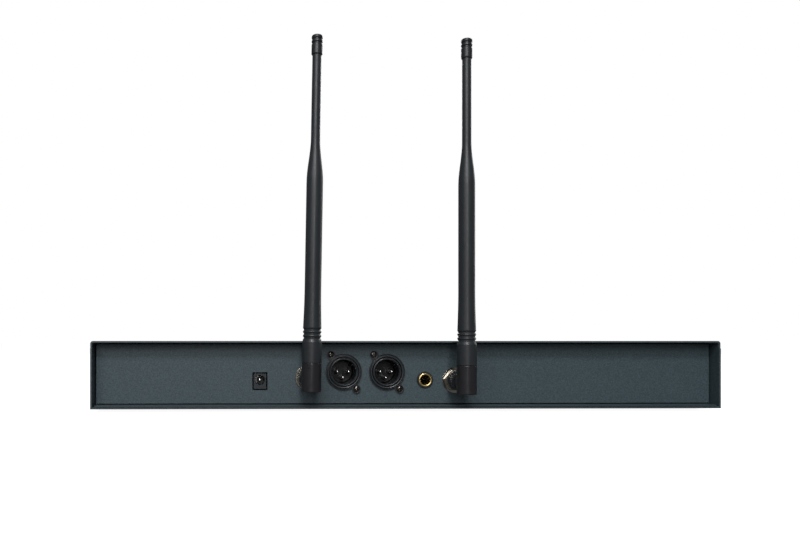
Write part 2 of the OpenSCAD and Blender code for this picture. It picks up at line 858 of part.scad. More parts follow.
base_tray();
top_cover();
rear_panel();
front_panel();
cover_screws();
rear_panel_screws();
front_panel_screws();
rubber_feet();
foot_screws();
rack_inserts();
main_board();
board_standoffs();
board_screws();
rf_module_left();
rf_module_right();
coax_lead_left();
coax_lead_right();
capacitors();
ribbon_cable();
dc_jack_body();
dc_jack_contacts();
xlr_shell_left();
xlr_shell_right();
xlr_inserts();
xlr_pins();
xlr_screws();
jack_body();
jack_bushing();
jack_contacts();
bnc_jack_left();
bnc_jack_right();
bnc_insulators();
bnc_nuts();
bnc_washers();
coupling_nut_left();
coupling_nut_right();
antenna_elbow_left();
antenna_plug_left();
antenna_whip_left();
antenna_tip_left();
antenna_element_left();
antenna_elbow_right();
antenna_plug_right();
antenna_whip_right();
antenna_tip_right();
antenna_element_right();
front_board();
display_module();
display_window();
volume_pots();
volume_shaft_left();
volume_shaft_right();
volume_knob_left();
volume_knob_right();
key_switches();
power_button();
set_button_left();
set_button_right();
indicator_lights();
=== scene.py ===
import json
import math
import bpy
import bmesh
from mathutils import Matrix, Vector


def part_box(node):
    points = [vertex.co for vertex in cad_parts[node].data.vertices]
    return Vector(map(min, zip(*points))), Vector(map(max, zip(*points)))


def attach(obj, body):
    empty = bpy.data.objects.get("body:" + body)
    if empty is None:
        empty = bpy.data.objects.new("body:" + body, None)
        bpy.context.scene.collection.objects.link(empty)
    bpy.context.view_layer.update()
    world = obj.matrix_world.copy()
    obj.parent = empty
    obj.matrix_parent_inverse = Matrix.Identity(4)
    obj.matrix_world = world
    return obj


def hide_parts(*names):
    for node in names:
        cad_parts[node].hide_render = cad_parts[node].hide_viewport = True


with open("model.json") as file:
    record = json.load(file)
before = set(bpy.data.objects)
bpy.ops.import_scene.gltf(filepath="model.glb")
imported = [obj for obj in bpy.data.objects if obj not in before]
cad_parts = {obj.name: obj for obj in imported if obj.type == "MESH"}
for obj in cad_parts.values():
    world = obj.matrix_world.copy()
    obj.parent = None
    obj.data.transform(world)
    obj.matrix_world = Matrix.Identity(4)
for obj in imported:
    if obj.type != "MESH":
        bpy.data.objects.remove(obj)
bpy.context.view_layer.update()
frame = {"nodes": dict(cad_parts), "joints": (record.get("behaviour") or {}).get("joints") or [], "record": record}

MM = 0.001
TAU = 2 * math.pi
NODES = frame["nodes"]
JOINTS = {j["name"]: j for j in frame["joints"]}
SIDES = ("left", "right")


# ---------------------------------------------------------------- places

def low(node):
    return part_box(node)[0]


def high(node):
    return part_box(node)[1]


def middle(node):
    lo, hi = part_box(node)
    return (Vector(lo) + Vector(hi)) / 2


CASE_LO, CASE_HI = (Vector(v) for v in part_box("top_cover"))
SHEET = 1.2  # the steel's thickness, in millimetres
PANEL_Y = high("bnc_washers")[1]
REAR_Y = CASE_LO.y
FRONT_Y = high("front_panel")[1]
PANEL_LO, PANEL_HI = (Vector(v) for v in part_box("rear_panel"))


def rear_axes(x, z):
    """Local x to the right, y up and z out of the rear panel, at its face."""
    return Matrix(((1, 0, 0, x), (0, 0, -1, PANEL_Y), (0, 1, 0, z), (0, 0, 0, 1)))


def front_axes(x, z):
    """Local x to the right seen from the front, y up and z out of the front panel."""
    return Matrix(((-1, 0, 0, x), (0, 0, 1, FRONT_Y), (0, 1, 0, z), (0, 0, 0, 1)))


SOCKET = {s: Vector(JOINTS[f"antenna_{s}_swivel"]["pos_m"]) for s in SIDES}
XLR = {s: middle(f"xlr_shell_{s}") for s in SIDES}
JACK = middle("jack_bushing")
DC_AXIS_UP = 6.3 * MM  # the inlet's axis above the underside of its body
DC = Vector((middle("dc_jack_body").x, 0, low("dc_jack_body")[2] + DC_AXIS_UP))


# ---------------------------------------------------------------- materials

class Surface:
    """A principled material whose colour, roughness and bump come from procedural nodes."""

    def __init__(self, name, colour, rough, metal=0.0, specular=0.5):
        self.mat = bpy.data.materials.new(name)
        self.mat.use_nodes = True
        self.tree = self.mat.node_tree
        self.shader = self.tree.nodes["Principled BSDF"]
        self.colour = colour
        self.rough = rough
        put = self.shader.inputs
        put["Base Color"].default_value = (*colour, 1)
        put["Roughness"].default_value = rough
        put["Metallic"].default_value = metal
        put["Specular IOR Level"].default_value = specular
        self.coords = self.tree.nodes.new("ShaderNodeTexCoord")
        self.bump_from = None

    def link(self, a, b):
        self.tree.links.new(a, b)

    def noise(self, size, detail=3.0, stretch=(1, 1, 1), roughness=0.5):
        """Noise with features of about that size in metres."""
        place = self.tree.nodes.new("ShaderNodeMapping")
        place.inputs["Scale"].default_value = [k / size for k in stretch]
        self.link(self.coords.outputs["Object"], place.inputs["Vector"])
        tex = self.tree.nodes.new("ShaderNodeTexNoise")
        tex.inputs["Scale"].default_value = 1.0
        tex.inputs["Detail"].default_value = detail
        tex.inputs["Roughness"].default_value = roughness
        self.link(place.outputs["Vector"], tex.inputs["Vector"])
        return tex.outputs["Fac"]

    def ramp(self, value, low_out, high_out, low_in=0.3, high_in=0.7):
        node = self.tree.nodes.new("ShaderNodeMapRange")
        node.inputs["From Min"].default_value = low_in
        node.inputs["From Max"].default_value = high_in
        node.inputs["To Min"].default_value = low_out
        node.inputs["To Max"].default_value = high_out
        self.link(value, node.inputs["Value"])
        return node.outputs["Result"]

    def tint(self, value, dark, light):
        """The colour goes from dark to light times the base with the value."""
        node = self.tree.nodes.new("ShaderNodeMix")
        node.data_type = "RGBA"
        node.inputs["A"].default_value = (*[c * dark for c in self.colour], 1)
        node.inputs["B"].default_value = (*[min(1, c * light) for c in self.colour], 1)
        self.link(value, node.inputs["Factor"])
        self.link(node.outputs["Result"], self.shader.inputs["Base Color"])
        return self

    def vary_rough(self, value, spread):
        rough = self.ramp(value, self.rough - spread, self.rough + spread)
        self.link(rough, self.shader.inputs["Roughness"])
        return self

    def bump(self, value, depth, strength=1.0):
        node = self.tree.nodes.new("ShaderNodeBump")
        node.inputs["Distance"].default_value = depth
        node.inputs["Strength"].default_value = strength
        self.link(value, node.inputs["Height"])
        if self.bump_from:
            self.link(self.bump_from, node.inputs["Normal"])
        self.bump_from = node.outputs["Normal"]
        self.link(self.bump_from, self.shader.inputs["Normal"])
        return self


def powder_coat(name, colour, rough=0.5):
    """Powder paint on steel: a tight, speckled grain and a slow, faint unevenness of gloss."""
    s = Surface(name, colour, rough)
    grain = s.noise(0.85 * MM, detail=3, roughness=0.65)
    slow = s.noise(40 * MM, detail=2)
    s.tint(s.ramp(grain, 0.0, 1.0, 0.34, 0.66), 0.68, 1.34)
    s.vary_rough(slow, 0.02)
    s.bump(grain, 0.09 * MM, 0.6)
    return s.mat


def moulded(name, colour, rough=0.45, grain=0.5 * MM, depth=0.02 * MM, specular=0.5):
    """Moulded plastic or rubber with a fine spark-eroded grain."""
    s = Surface(name, colour, rough, specular=specular)
    fine = s.noise(grain, detail=3)
    s.tint(s.noise(9 * MM, detail=3), 0.86, 1.14)
    s.vary_rough(s.noise(3 * MM, detail=4), 0.06)
    s.bump(fine, depth, 0.5)
    return s.mat


def plated(name, colour, rough=0.2, depth=0.01 * MM, scratch=0.6 * MM):
    """Plated or polished metal with fine machining marks and slightly cloudy gloss."""
    s = Surface(name, colour, rough, metal=1.0)
    marks = s.noise(scratch, detail=5)
    s.tint(s.noise(4 * MM, detail=3), 0.88, 1.06)
    s.vary_rough(marks, 0.06)
    s.bump(marks, depth, 0.3)
    return s.mat


def circuit_green(name, colour):
    """Solder mask over copper tracks, as blocks that run along the board."""
    s = Surface(name, colour, 0.35)
    tracks = s.noise(5 * MM, detail=1, stretch=(1, 0.25, 1))
    s.tint(s.ramp(tracks, 0.0, 1.0, 0.47, 0.53), 0.8, 1.5)
    s.bump(tracks, 0.03 * MM, 0.4)
    return s.mat


def smoked_window(name):
    s = Surface(name, (0.012, 0.015, 0.018), 0.07)
    s.vary_rough(s.noise(6 * MM, detail=3), 0.02)
    return s.mat


def lamp_plastic(name, colour):
    s = Surface(name, colour, 0.3)
    s.tint(s.noise(1.5 * MM, detail=2), 0.85, 1.1)
    return s.mat


MATERIAL = {
    "case_steel": powder_coat("case_paint", (0.040, 0.060, 0.070)),
    "panel_steel": powder_coat("panel_paint", (0.050, 0.078, 0.091)),
    "front_plate": powder_coat("front_paint", (0.022, 0.025, 0.029), 0.42),
    "black_screws": plated("black_nickel", (0.17, 0.155, 0.14), 0.2, 0.004 * MM),
    "zinc_screws": plated("zinc", (0.55, 0.56, 0.57), 0.32),
    "zinc_inserts": plated("zinc_insert", (0.58, 0.59, 0.60), 0.3),
    "foot_rubber": moulded("foot_rubber", (0.018, 0.018, 0.019), 0.7, specular=0.35),
    "circuit_board": circuit_green("solder_mask", (0.02, 0.11, 0.045)),
    "brass_posts": plated("brass", (0.62, 0.47, 0.20), 0.25),
    "shield_tin": plated("tinned_can", (0.62, 0.63, 0.64), 0.28),
    "cable_jacket": moulded("lead_jacket", (0.022, 0.022, 0.024), 0.5),
    "capacitor_sleeve": moulded("capacitor_sleeve", (0.02, 0.028, 0.06), 0.3),
    "ribbon": moulded("ribbon_jacket", (0.42, 0.43, 0.44), 0.5),
    "socket_black": moulded("socket_black", (0.020, 0.025, 0.030), 0.36),
    # Near-black insert plastic; where it lines each output socket's wall, its darkness is painted shade in the
    # socket.
    "insert_black": moulded("insert_black", (0.004, 0.005, 0.006), 0.32, specular=0.4),
    "contact_silver": plated("contact_silver", (0.90, 0.88, 0.85), 0.14, 0.003 * MM),
    "contact_gold": plated("contact_gold", (0.90, 0.69, 0.32), 0.27, 0.003 * MM),
    "nickel": plated("nickel", (0.50, 0.47, 0.41), 0.17, 0.002 * MM),
    "white_insulator": moulded("white_insulator", (0.72, 0.71, 0.67), 0.5),
    "ring_black": moulded("ring_black", (0.012, 0.012, 0.014), 0.34),
    "elbow_black": moulded("elbow_black", (0.016, 0.016, 0.019), 0.33, depth=0.012 * MM),
    "whip_rubber": moulded("whip_rubber", (0.021, 0.025, 0.029), 0.39, depth=0.02 * MM),
    "tip_rubber": moulded("tip_rubber", (0.015, 0.018, 0.021), 0.36),
    "copper_rod": plated("copper_rod", (0.70, 0.36, 0.20), 0.3),
    "display_black": moulded("display_black", (0.008, 0.009, 0.010), 0.3),
    "window_smoke": smoked_window("window_smoke"),
    "pot_metal": plated("pot_metal", (0.48, 0.49, 0.50), 0.34),
    "shaft_metal": plated("shaft_metal", (0.62, 0.63, 0.64), 0.26),
    "knob_black": moulded("knob_black", (0.014, 0.015, 0.017), 0.42),
    "switch_black": moulded("switch_black", (0.02, 0.02, 0.022), 0.5),
    "button_grey": moulded("button_grey", (0.30, 0.31, 0.32), 0.38),
    "light_green": lamp_plastic("light_green", (0.10, 0.42, 0.16)),
}
POINTER = moulded("pointer_white", (0.70, 0.71, 0.72), 0.4)

SLOT_OF = {p["node"]: p["material_slot"] for p in frame["record"]["subparts"]}


# ---------------------------------------------------------------- mesh helpers

def piece(name, mesh, node, body, sharp=32.0):
    """Makes the mesh an object that stands for a CAD node and rides on its body."""
    mesh.materials.clear()
    mesh.materials.append(MATERIAL[SLOT_OF[node]])
    for face in mesh.polygons:
        face.use_smooth = True
    mesh.set_sharp_from_angle(angle=math.radians(sharp))
    obj = bpy.data.objects.new(name, mesh)
    bpy.context.scene.collection.objects.link(obj)
    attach(obj, body)
    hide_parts(node)
    even_normals(obj)


def even_normals(obj):
    """Keeps large flat and straight faces evenly lit right up to their soft edges."""
    mod = obj.modifiers.new("even_normals", "WEIGHTED_NORMAL")
    mod.weight = 100
    mod.keep_sharp = True


def mesh_of(bm, name, matrix=None):
    if matrix is not None:
        bmesh.ops.transform(bm, matrix=matrix, verts=bm.verts)
    bmesh.ops.recalc_face_normals(bm, faces=bm.faces)
    mesh = bpy.data.meshes.new(name)
    bm.to_mesh(mesh)
    bm.free()
    return mesh


def lathe(bm, profile, matrix=None, steps=96, ripple=None):
    """Revolves (radius, height) points about local z. A closed profile starts and ends at one point."""
    closed = profile[0] == profile[-1]
    points = profile[:-1] if closed else profile
    rings = []
    for k, (r, z) in enumerate(points):
        if r <= 1e-9:
            rings.append([bm.verts.new((0, 0, z))])
            continue
        row = []
        for i in range(steps):
            a = TAU * i / steps
            rr = r + (ripple(k, a) if ripple else 0.0)
            row.append(bm.verts.new((rr * math.cos(a), rr * math.sin(a), z)))
        rings.append(row)
    pairs = list(zip(rings, rings[1:])) + ([(rings[-1], rings[0])] if closed else [])
    for a, b in pairs:
        for i in range(steps):
            j = (i + 1) % steps
            if len(a) == 1 and len(b) == 1:
                continue
            if len(a) == 1:
                bm.faces.new((a[0], b[i], b[j]))
            elif len(b) == 1:
                bm.faces.new((a[i], b[0], a[j]))
            else:
                bm.faces.new((a[i], b[i], b[j], a[j]))
    if matrix is not None:
        bmesh.ops.transform(bm, matrix=matrix, verts=[v for ring in rings for v in ring])
    return bm


def fillet(points, radius, steps=3):
    """Rounds the inner corners of an open outline of (x, y) points."""
    out = [points[0]]
    for a, b, c in zip(points, points[1:], points[2:]):
        va, vc = Vector(a) - Vector(b), Vector(c) - Vector(b)
        cut = min(radius, va.length * 0.45, vc.length * 0.45)
        pa, pc = Vector(b) + va.normalized() * cut, Vector(b) + vc.normalized() * cut
        for i in range(steps + 1):
            t = i / steps
            p = pa.lerp(Vector(b), t).lerp(Vector(b).lerp(pc, t), t)
            out.append((p.x, p.y))
    out.append(points[-1])
    return out


def mm_points(points):
    return [(r * MM, z * MM) for r, z in points]


def turned(points, radius=0.15, steps=3):
    """A profile in millimetres, its corners rounded, in metres."""
    return mm_points(fillet(points, radius, steps))


def close_between(bm, lower, upper):
    """Caps two loops of vertices and joins them with side faces."""
    bm.faces.new(lower[::-1])
    bm.faces.new(upper)
    n = len(lower)
    for i in range(n):
        j = (i + 1) % n
        bm.faces.new((lower[i], lower[j], upper[j], upper[i]))


def prism(outline, z0, z1):
    """A closed solid with that outline between two heights, in millimetres."""
    bm = bmesh.new()
    lower = [bm.verts.new((x * MM, y * MM, z0 * MM)) for x, y in outline]
    upper = [bm.verts.new((x * MM, y * MM, z1 * MM)) for x, y in outline]
    close_between(bm, lower, upper)
    return bm


def block(x0, x1, y0, y1, z0, z1):
    """A box, in millimetres."""
    return prism([(x0, y0), (x1, y0), (x1, y1), (x0, y1)], z0, z1)


def shifted(x, y, z=0.0):
    """A move by millimetres."""
    return Matrix.Translation((x * MM, y * MM, z * MM))


def spun(profile, matrix=None, steps=96):
    """A new bmesh with one lathed profile, in metres."""
    return lathe(bmesh.new(), profile, matrix, steps)


def rod(x, y, r, z0, z1, steps=72):
    """A cylinder along local z, in millimetres."""
    return spun(mm_points([(0, z0), (r, z0), (r, z1), (0, z1)]), shifted(x, y), steps)


def circle(cx, cy, r, steps=64, start=0.0, end=TAU):
    full = abs(end - start - TAU) < 1e-6
    count = steps if full else steps + 1
    return [(cx + r * math.cos(start + (end - start) * i / steps),
             cy + r * math.sin(start + (end - start) * i / steps)) for i in range(count)]


def temporary(bm, name="cutter"):
    bmesh.ops.recalc_face_normals(bm, faces=bm.faces)
    mesh = bpy.data.meshes.new(name)
    bm.to_mesh(mesh)
    bm.free()
    obj = bpy.data.objects.new(name, mesh)
    bpy.context.scene.collection.objects.link(obj)
    return obj


def applied(obj):
    """The object's mesh with its modifiers worked out, and the object removed."""
    graph = bpy.context.evaluated_depsgraph_get()
    mesh = bpy.data.meshes.new_from_object(obj.evaluated_get(graph))
    bpy.data.objects.remove(obj)
    return mesh


def solid(base, bevel, joins=(), within=(), cuts=(), angle=35.0, segments=3):
    """The mesh of closed bmeshes joined, kept within others and cut, in that order, then bevelled."""
    obj = temporary(base, "base")
    helpers = []
    for kind, group in (("UNION", joins), ("INTERSECT", within), ("DIFFERENCE", cuts)):
        for bm in group:
            tool = temporary(bm)
            helpers.append(tool)
            mod = obj.modifiers.new("cut", "BOOLEAN")
            mod.operation = kind
            mod.solver = "EXACT"
            mod.object = tool
    mod = obj.modifiers.new("bevel", "BEVEL")
    mod.width = bevel
    mod.segments = segments
    mod.limit_method = "ANGLE"
    mod.angle_limit = math.radians(angle)
    mesh = applied(obj)
    for tool in helpers:
        bpy.data.objects.remove(tool)
    return mesh


def joined(meshes, name):
    """Several meshes as one."""
    bm = bmesh.new()
    for mesh in meshes:
        bm.from_mesh(mesh)
    out = bpy.data.meshes.new(name)
    bm.to_mesh(out)
    bm.free()
    return out


def placed(mesh, matrices, name):
    """Copies of one mesh at several places, as one mesh."""
    copies = []
    for matrix in matrices:
        copy = mesh.copy()
        copy.transform(matrix)
        copies.append(copy)
    return joined(copies, name)


# ---------------------------------------------------------------- antennas

ELBOW_R = (high("antenna_elbow_right")[0] - low("antenna_elbow_right")[0]) / 2
REACH = PANEL_Y - low("antenna_elbow_right")[1] - ELBOW_R
RISE = high("antenna_elbow_right")[2] - SOCKET["right"].z
DROP = SOCKET["right"].z - low("antenna_elbow_right")[2]
WHIP_LEN = high("antenna_tip_right")[2] - SOCKET["right"].z - RISE
TIP_FROM = low("antenna_tip_right")[2] - SOCKET["right"].z - RISE
TIP_R = (high("antenna_tip_right")[0] - low("antenna_tip_right")[0]) / 2


def lean(side):
    tip = middle(f"antenna_tip_{side}")
    return math.atan2(tip.x - SOCKET[side].x, tip.z - SOCKET[side].z)


def antenna_axes(side):
    return rear_axes(SOCKET[side].x, SOCKET[side].z) @ Matrix.Rotation(-lean(side), 4, "Z")


def whip_axes(side):
    """Local z up the whip, from the elbow's top."""
    return (antenna_axes(side) @ Matrix.Translation((0, RISE, REACH))
            @ Matrix.Rotation(-math.pi / 2, 4, "X"))


def groove(rim, lip, floor, z, half_widths):
    """A round groove's profile about z, from rim over lip to floor and back, in millimetres."""
    at_rim, at_lip, at_floor = half_widths
    return [(rim, z - at_rim), (lip, z - at_lip), (floor, z - at_floor),
            (floor, z + at_floor), (lip, z + at_lip), (rim, z + at_rim)]


def whip_points():
    """Sleeve, three grooves, flare, thick body, long taper and thin top, in millimetres."""
    sleeve, flare, body, thin, bore = ELBOW_R / MM, 5.8, 5.25, 2.9, 1.3
    foot, end = 0.12, TIP_FROM / MM - 0.02
    flare_from, flare_length, flare_steps = 23.0, 23.8, 12
    taper_from, taper_length, taper_steps = 114.8, 28.9, 16
    pts = [(bore, foot), (sleeve - 0.2, foot), (sleeve, 0.35), (sleeve, 13.3)]
    pts += [(sleeve - 0.12, 13.8), (flare + 0.15, 14.15)]
    for z in (16.0, 18.6, 21.2):
        pts += groove(flare + 0.03, flare - 0.12, flare - 0.48, z, (0.95, 0.72, 0.42))
    pts += [(flare, flare_from)]
    for i in range(1, flare_steps + 1):
        radius = body + (flare - body) * (1 - i / flare_steps) ** 1.6
        pts.append((radius, flare_from + flare_length * i / flare_steps))
    pts += [(body, 80.0)]
    for i in range(taper_steps + 1):
        radius = body + (thin - body) * (1 - math.cos(math.pi * i / taper_steps)) / 2
        pts.append((radius, taper_from + taper_length * i / taper_steps))
    pts += [(thin, 170.0), (thin, end), (bore, end), (bore, foot)]
    return pts


def mould_line(angle, height=0.045 * MM, width=0.035):
    """A faint parting ridge down both sides of a moulding."""
    off = min(abs(math.cos(angle) - 1), abs(math.cos(angle) + 1))
    return height * max(0.0, 1 - off / width ** 2 / 0.5)


def make_whip(side):
    """The whip's sleeve, with a mould line down its outside but not in its bore."""
    profile = mm_points(whip_points())
    bore_from = len(profile) - 3
    bm = bmesh.new()
    lathe(bm, profile, whip_axes(side), steps=160,
          ripple=lambda k, a: mould_line(a) if 0 < k < bore_from else 0.0)
    node = f"antenna_whip_{side}"
    piece(f"whip_{side}", mesh_of(bm, node), node, f"antenna_{side}", sharp=38)


def make_tip(side):
    """A cap with two grooves and a rounded top."""
    r, top, base, crown = TIP_R / MM, WHIP_LEN / MM, TIP_FROM / MM, 1.2
    pts = [(0, base), (r - 0.35, base), (r - 0.08, base + 0.25), (r, base + 0.7)]
    for z in (top - 5.4, top - 2.9):
        pts += groove(r, r - 0.12, r - 0.5, z, (0.85, 0.62, 0.38))
    pts += circle(r - crown, top - crown, crown, 6, 0, math.pi / 2)
    pts += [(r - 2.2, top), (0, top)]
    node = f"antenna_tip_{side}"
    mesh = mesh_of(spun(mm_points(pts), whip_axes(side)), node)
    piece(f"tip_{side}", mesh, node, f"antenna_{side}", sharp=38)


ARM_FROM = 18.7  # the arm's start, in millimetres out from the panel
ARM_R = 5.7


def make_elbow(side):
    """Upright barrel with a flat chamfered foot, and the arm from the coupling nut."""
    r, rise, drop, reach = ELBOW_R / MM, RISE / MM, DROP / MM, REACH / MM
    up = Matrix.Translation((0, 0, REACH)) @ Matrix.Rotation(-math.pi / 2, 4, "X")
    barrel = [(0, -drop), (r - 0.4, -drop), (r, -drop + 0.5), (r, rise - 0.25), (r - 0.2, rise), (0, rise)]
    arm = [(0, ARM_FROM), (4.9, ARM_FROM), (ARM_R, ARM_FROM + 0.5), (ARM_R, ARM_FROM + 1.5),
           (5.35, ARM_FROM + 1.9), (ARM_R, ARM_FROM + 2.3), (ARM_R, reach + 1), (0, reach + 1)]
    mesh = solid(spun(turned(barrel, 0.12), up, 128), joins=[spun(turned(arm, 0.12), steps=128)],
                 bevel=0.28 * MM, angle=50)
    mesh.transform(antenna_axes(side))
    node = f"antenna_elbow_{side}"
    piece(f"elbow_{side}", mesh, node, f"antenna_{side}", sharp=40)


def make_coupling(side):
    """Bayonet ring: rolled lips, a band of grip flutes and a bore for the elbow's arm."""
    flutes, depth = 24, 0.32 * MM
    grip, waist, bore, mouth = 6.38, 6.1, 5.05, 5.72
    pts = [(mouth, 6.7), (waist, 6.65), (grip, 6.95), (grip, 8.7), (waist, 9.0), (waist, 9.5),
           (grip, 9.8), (grip, 10.2), (grip, 15.8), (grip, 16.2), (waist, 16.5), (waist, 16.9),
           (6.34, 17.2), (6.3, 17.9), (5.9, 18.35), (bore, 18.35), (bore, 16.3),
           (mouth, 16.2), (mouth, 6.7)]
    fluted = {i for i, (r, z) in enumerate(pts) if r == grip and 10.1 < z < 15.9}

    def ripple(k, a):
        return -depth * (0.5 + 0.5 * math.cos(flutes * a)) ** 2 if k in fluted else 0.0

    bm = bmesh.new()
    lathe(bm, mm_points(pts), rear_axes(SOCKET[side].x, SOCKET[side].z), steps=240, ripple=ripple)
    node = f"coupling_nut_{side}"
    piece(f"coupling_{side}", mesh_of(bm, node), node, f"coupling_{side}", sharp=34)


def make_socket(side):
    """Inner flange, threaded bush and the bayonet barrel with its two studs."""
    crest, root, pitch, top = 6.28, 5.92, 0.75, 5.1
    tail, flange, barrel, cup, bore = 3.4, 7.5, 4.85, 4.05, 2.4
    thread = []
    z = -1.2
    while z < top - pitch:
        thread += [(crest, z), (crest, z + 0.12), (root, z + pitch / 2), (crest, z + pitch - 0.12)]
        z += pitch
    pts = ([(tail, -9.2), (tail, -3.2), (flange, -3.2), (flange, -1.25)] + thread
           + [(6.1, top), (barrel, top + 0.1), (barrel, 15.7), (4.6, 16.0), (cup, 15.95),
              (cup, 7.0), (bore, 7.0), (bore, -9.2), (tail, -9.2)])
    bm = spun(mm_points(pts))
    stud = turned([(0, 4.6), (1.0, 4.6), (1.0, 5.5), (0, 5.5)], 0.12)
    for turn in (0.0, math.pi):
        out = Matrix.Rotation(turn, 4, "Z") @ shifted(0, 0, 11) @ Matrix.Rotation(-math.pi / 2, 4, "X")
        lathe(bm, stud, out, steps=24)
    node = f"bnc_jack_{side}"
    mesh = mesh_of(bm, node, rear_axes(SOCKET[side].x, SOCKET[side].z))
    piece(f"socket_{side}", mesh, node, "case", sharp=30)


def hex_nut(across_corners, t, hole, lower):
    """A six-sided nut with turned, rounded corners on its outer face, in millimetres."""
    r = across_corners / 2
    flat = r * math.cos(math.pi / 6)
    top = lower + t
    skirt = [(0, lower - 1), (r + 1, lower - 1), (r + 1, lower + t * 0.45),
             (flat - 0.15, top), (flat - 0.9, top + 1), (0, top + 1)]
    bore = [(0, lower - 2), (hole, lower - 2), (hole, top - 0.35),
            (hole + 0.5, top + 0.3), (hole + 0.5, top + 2), (0, top + 2)]
    return solid(prism(circle(0, 0, r, 6), lower, top), within=[spun(mm_points(skirt))],
                 cuts=[spun(mm_points(bore))], bevel=0.22 * MM, angle=28)


def make_socket_nuts():
    """The two nuts, each turned a little its own way, and the washers under them."""
    nut = hex_nut(15.4, 2.6, 6.32, 0.72)
    turns = {"left": math.radians(11), "right": math.radians(-7)}
    places = [rear_axes(SOCKET[s].x, SOCKET[s].z) @ Matrix.Rotation(turns[s], 4, "Z") for s in SIDES]
    piece("socket_nuts", placed(nut, places, "socket_nuts"), "bnc_nuts", "case", sharp=30)
    ring = turned([(6.35, 0.02), (8.7, 0.02), (8.7, 0.68), (6.35, 0.68), (6.35, 0.02)], 0.3)
    bm = bmesh.new()
    for s in SIDES:
        lathe(bm, ring, rear_axes(SOCKET[s].x, SOCKET[s].z), steps=128)
    piece("socket_washers", mesh_of(bm, "washers"), "bnc_washers", "case", sharp=30)


# ---------------------------------------------------------------- balanced outputs

# Millimetres from an output's axis: its ear screws, which stand at opposite corners, and its pins.
EAR = (8.7, 11.6)
PINS = ((-3.81, 0), (3.81, 0), (0, -4))


def flange_outline(r, ear_r):
    """The flange's circle run smoothly out into two ears, in millimetres, anticlockwise."""
    ear_at = [math.atan2(EAR[1], -EAR[0]), math.atan2(-EAR[1], EAR[0])]
    ear_far = math.hypot(*EAR)
    steps = 360
    out = []
    for i in range(steps):
        a = TAU * i / steps
        reach = r
        for e in ear_at:
            d = (a - e + math.pi) % TAU - math.pi
            side = ear_far * math.sin(d)
            if abs(side) < ear_r and abs(d) < 1:
                reach = max(reach, ear_far * math.cos(d) + math.sqrt(ear_r ** 2 - side ** 2))
        out.append((reach * math.cos(a), reach * math.sin(a)))
    return out


def make_shell(side):
    """Round flange with two ears, a raised bezel with two grooves, and the socket with its latch mouth."""
    bezel = [(0, -18.9), (10.9, -18.9), (10.9, 0.01), (12.15, 0.01), (12.15, 1.2), (12.05, 1.3),
             (11.3, 1.3), (11.2, 1.95), (11.0, 2.15), (10.7, 2.19), (10.4, 2.15), (10.2, 2.0),
             (9.45, 2.0), (9.25, 2.15), (8.95, 2.19), (8.75, 2.1), (8.6, 1.8), (8.6, 0.4), (0, 0.4)]
    cup = [(0, -16.02), (8.2, -16.02), (8.2, 0.4), (8.6, 1.9), (8.7, 2.3), (8.7, 4), (0, 4)]
    latch = [(-2.85, 6), (2.85, 6), (2.85, 9.0), (2.5, 9.3), (-2.5, 9.3), (-2.85, 9.0)]
    pocket = [(0, -3), (1.56, -3), (1.56, 0.13), (2.45, 0.13), (2.45, 3), (0, 3)]
    cuts = [spun(mm_points(cup), steps=144), prism(latch, 1.5, 4)]
    for r0, r1, floor in ((9.5, 10.18, -2.0), (11.3, 11.95, 0.1)):
        ring = [(r0, floor), (r1, floor), (r1, 4), (r0, 4), (r0, floor)]
        cuts.append(spun(mm_points(ring), steps=144))
    for s in (-1, 1):
        cuts.append(spun(mm_points(pocket), shifted(-s * EAR[0], s * EAR[1]), 32))
    mesh = solid(prism(flange_outline(11.0, 2.8), 0.02, 1.2), joins=[spun(mm_points(bezel), steps=144)],
                 cuts=cuts, bevel=0.13 * MM, angle=34, segments=2)
    mesh.transform(rear_axes(XLR[side].x, XLR[side].z))
    node = f"xlr_shell_{side}"
    piece(f"output_shell_{side}", mesh, node, "case", sharp=30)


def make_inserts():
    """The socket's floor with a raised boss round each pin, a near-black lining up its wall that paints shade into
    the socket, and the index key on the wall.
    """
    floor = [(0, -15.98), (8.17, -15.98), (8.17, -14.1), (7.4, -13.9), (0, -13.9)]
    boss = [(1.25, -13.95), (2.1, -13.95), (1.95, -13.52), (1.25, -13.52), (1.25, -13.95)]
    # A near-black lining up the socket's wall: painted shade inside the socket.
    shade_lining = [(8.19, -14.0), (8.19, 0.3), (8.08, 0.4), (8.05, 0.2), (8.05, -14.0), (8.19, -14.0)]
    key = [(0, -13.95), (0.68, -13.95), (0.68, -3.4), (0.5, -3.02), (0, -3.02)]
    key_place = Matrix.Rotation(math.radians(-52), 4, "Z") @ shifted(0, 7.4)
    meshes = []
    for s in SIDES:
        bm = spun(turned(floor, 0.2))
        for x, y in PINS:
            lathe(bm, turned(boss, 0.1), shifted(x, y), steps=32)
        lathe(bm, turned(shade_lining, 0.03), steps=128)
        lathe(bm, turned(key, 0.1), key_place, steps=24)
        meshes.append(mesh_of(bm, "insert", rear_axes(XLR[s].x, XLR[s].z)))
    piece("output_inserts", joined(meshes, "inserts"), "xlr_inserts", "case")


def make_pins():
    """Three round-nosed pins in each output."""
    profile = [(0, -15.9), (1.19, -15.9), (1.19, -3.5), (0.95, -2.8), (0.55, -2.36), (0, -2.31)]
    pin = mesh_of(spun(turned(profile, 0.25, 4), steps=48), "pin")
    places = [rear_axes(XLR[s].x, XLR[s].z) @ shifted(x, y) for s in SIDES for x, y in PINS]
    piece("output_pins", placed(pin, places, "pins"), "xlr_pins", "case")


